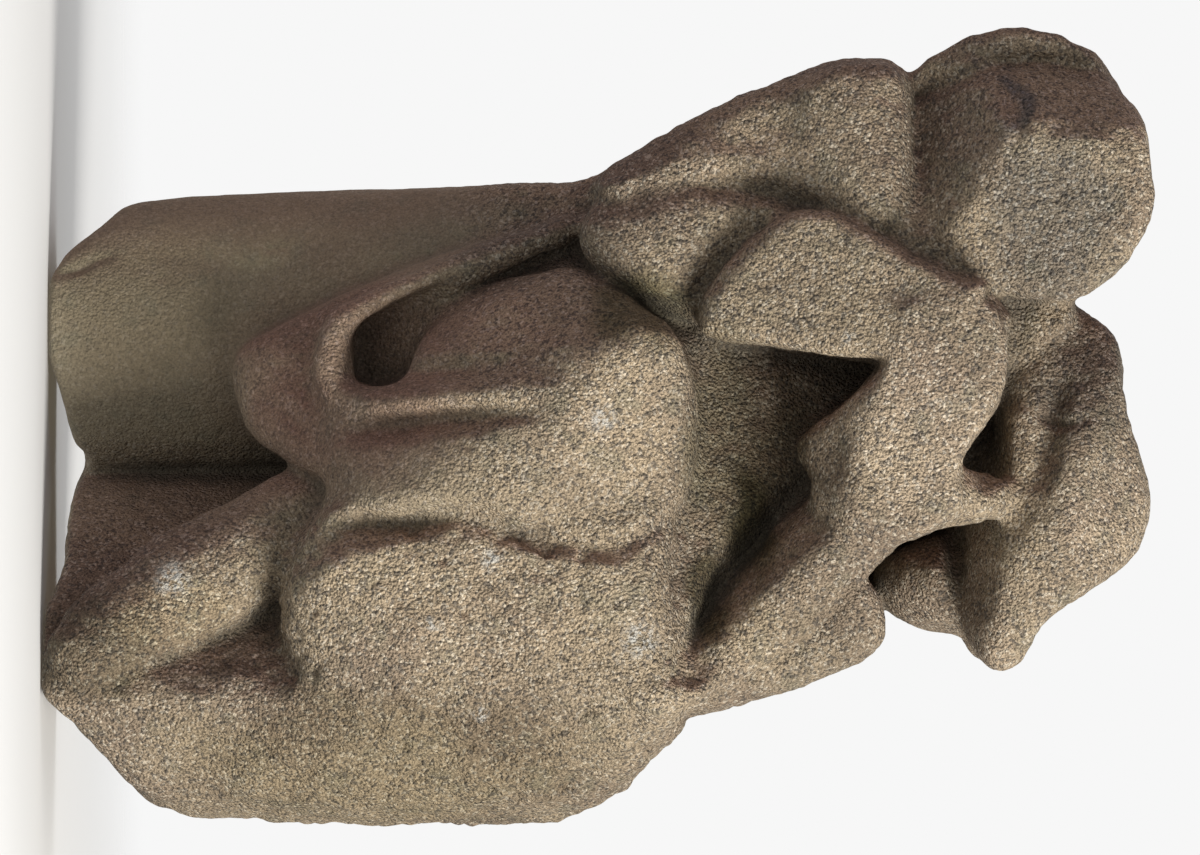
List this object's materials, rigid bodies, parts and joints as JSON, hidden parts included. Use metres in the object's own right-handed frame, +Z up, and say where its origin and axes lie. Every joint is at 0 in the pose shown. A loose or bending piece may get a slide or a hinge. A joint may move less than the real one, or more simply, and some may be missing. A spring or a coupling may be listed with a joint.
{
  "type": "carved capital",
  "caption": "Weathered stone capital carved with struggling figures, a broad hat and a raised arm, before a round shaft and a broken block, cut off flat behind.",
  "frame": {"origin": "on the plane of the bed, under the middle of the stone's box", "axes": "+Z up from the bed it stands on, +Y towards the flat cut back, so the carved front looks along -Y, +X to the viewer's right"},
  "size_m": [0.3981, 0.2784, 0.5522],
  "materials": {
    "stone": "rough, weathered, coarse-grained"
  },
  "bodies": {
    "root": {"carved_capital": "stone"}
  },
  "joints": []
}
